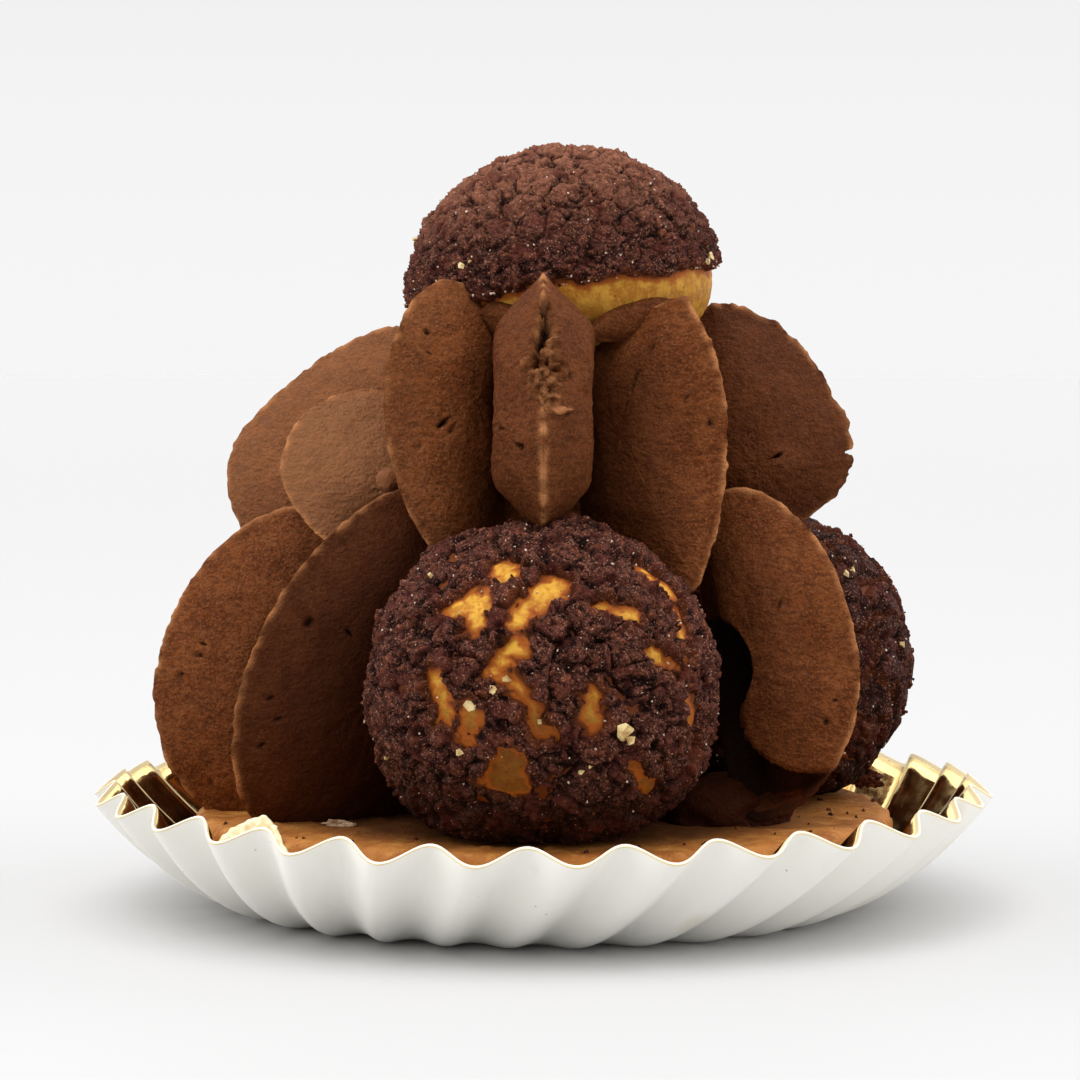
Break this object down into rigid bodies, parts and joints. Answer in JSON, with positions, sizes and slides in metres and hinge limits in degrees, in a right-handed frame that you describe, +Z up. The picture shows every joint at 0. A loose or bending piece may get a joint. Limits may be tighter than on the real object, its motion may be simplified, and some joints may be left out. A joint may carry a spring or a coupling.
{
  "type": "saint-honore cake",
  "caption": "Small chocolate saint-honore: choux buns with cocoa craquelin and piped blades of chocolate cream on a pastry disc, in a fluted card case.",
  "frame": {"origin": "middle of the card case's flat underside, on the table", "axes": "+Z up through the top bun; -Y towards the front bun; +X to the right seen from the front"},
  "size_m": [0.1002, 0.1002, 0.085],
  "materials": {
    "white_card": "matt white card outside, with a foil lining inside",
    "gold_foil": "bright gold foil laminated on the inside of the card",
    "baked_pastry": null,
    "choux_pastry": null,
    "cocoa_craquelin": null,
    "chocolate_cream": null,
    "nut_crumb": null
  },
  "bodies": {
    "root": {"card_case": "white_card", "pastry_base": "baked_pastry", "choux_front": "choux_pastry", "craquelin_front": "cocoa_craquelin", "choux_right": "choux_pastry", "craquelin_right": "cocoa_craquelin", "choux_left": "choux_pastry", "craquelin_left": "cocoa_craquelin", "choux_top": "choux_pastry", "craquelin_top": "cocoa_craquelin", "cream_core": "chocolate_cream", "petal_upper_1": "chocolate_cream", "petal_upper_2": "chocolate_cream", "petal_upper_3": "chocolate_cream", "petal_upper_4": "chocolate_cream", "petal_upper_5": "chocolate_cream", "petal_upper_6": "chocolate_cream", "petal_upper_7": "chocolate_cream", "petal_upper_8": "chocolate_cream", "petal_upper_9": "chocolate_cream", "petal_upper_10": "chocolate_cream", "petal_lower_1": "chocolate_cream", "petal_lower_2": "chocolate_cream", "petal_lower_3": "chocolate_cream", "petal_lower_4": "chocolate_cream", "petal_lower_5": "chocolate_cream"}
  },
  "joints": []
}
